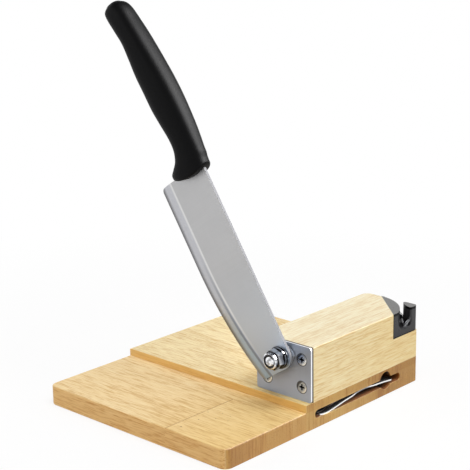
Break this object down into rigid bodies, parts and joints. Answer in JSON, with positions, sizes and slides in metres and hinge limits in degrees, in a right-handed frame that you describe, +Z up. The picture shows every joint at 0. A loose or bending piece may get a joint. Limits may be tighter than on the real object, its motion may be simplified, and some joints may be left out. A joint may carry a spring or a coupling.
{
  "type": "guillotine slicer",
  "caption": "Guillotine slicer: a stepped wooden board and block carry a pivoting handled blade, a corner sharpener and a fork in a side slot",
  "frame": {"origin": "centre of the board's underside", "axes": "+X to the user's right, +Y to the back, +Z up; the blade swings about Y"},
  "size_m": [0.1832, 0.209, 0.2841],
  "materials": {
    "board_wood": "lightly oiled",
    "block_wood": "sanded, bare",
    "dowel_wood": "bare",
    "plate_steel": "brushed",
    "blade_steel": "ground and satin",
    "fork_steel": "satin",
    "screw_steel": "zinc plated",
    "zinc_steel": "zinc plated",
    "rod_steel": "polished",
    "nylon": "matt",
    "sharpener_plastic": "fine texture",
    "handle_plastic": "satin"
  },
  "bodies": {
    "base": {"base_board": "board_wood", "pivot_block": "block_wood", "pivot_plate": "plate_steel", "plate_screw_top_left": "screw_steel", "plate_screw_top_right": "screw_steel", "plate_screw_bottom_left": "screw_steel", "plate_screw_bottom_right": "screw_steel", "pivot_stud": "zinc_steel", "clamp_nut": "zinc_steel", "rear_washer": "zinc_steel", "front_washer": "zinc_steel", "spring_washer": "zinc_steel", "lock_nut": "zinc_steel", "nylon_ring": "nylon", "sharpener_body": "sharpener_plastic", "sharpener_rod_left": "rod_steel", "sharpener_rod_right": "rod_steel", "sharpener_screw": "screw_steel", "block_screw_front": "screw_steel", "block_screw_rear": "screw_steel", "block_dowel_front": "dowel_wood", "block_dowel_rear": "dowel_wood"},
    "blade": {"blade": "blade_steel", "handle": "handle_plastic"},
    "fork": {"serving_fork": "fork_steel"}
  },
  "joints": [
    {"name": "blade_swing", "type": "hinge", "parent": "base", "child": "blade", "pos_m": [0.067, -0.0253, 0.051], "axis": [0, 1, 0], "range_deg": [-53.5, 130]},
    {"name": "fork_pull", "type": "slide", "parent": "base", "child": "fork", "axis": [1, 0, 0], "range_m": [0, 0.03]}
  ]
}
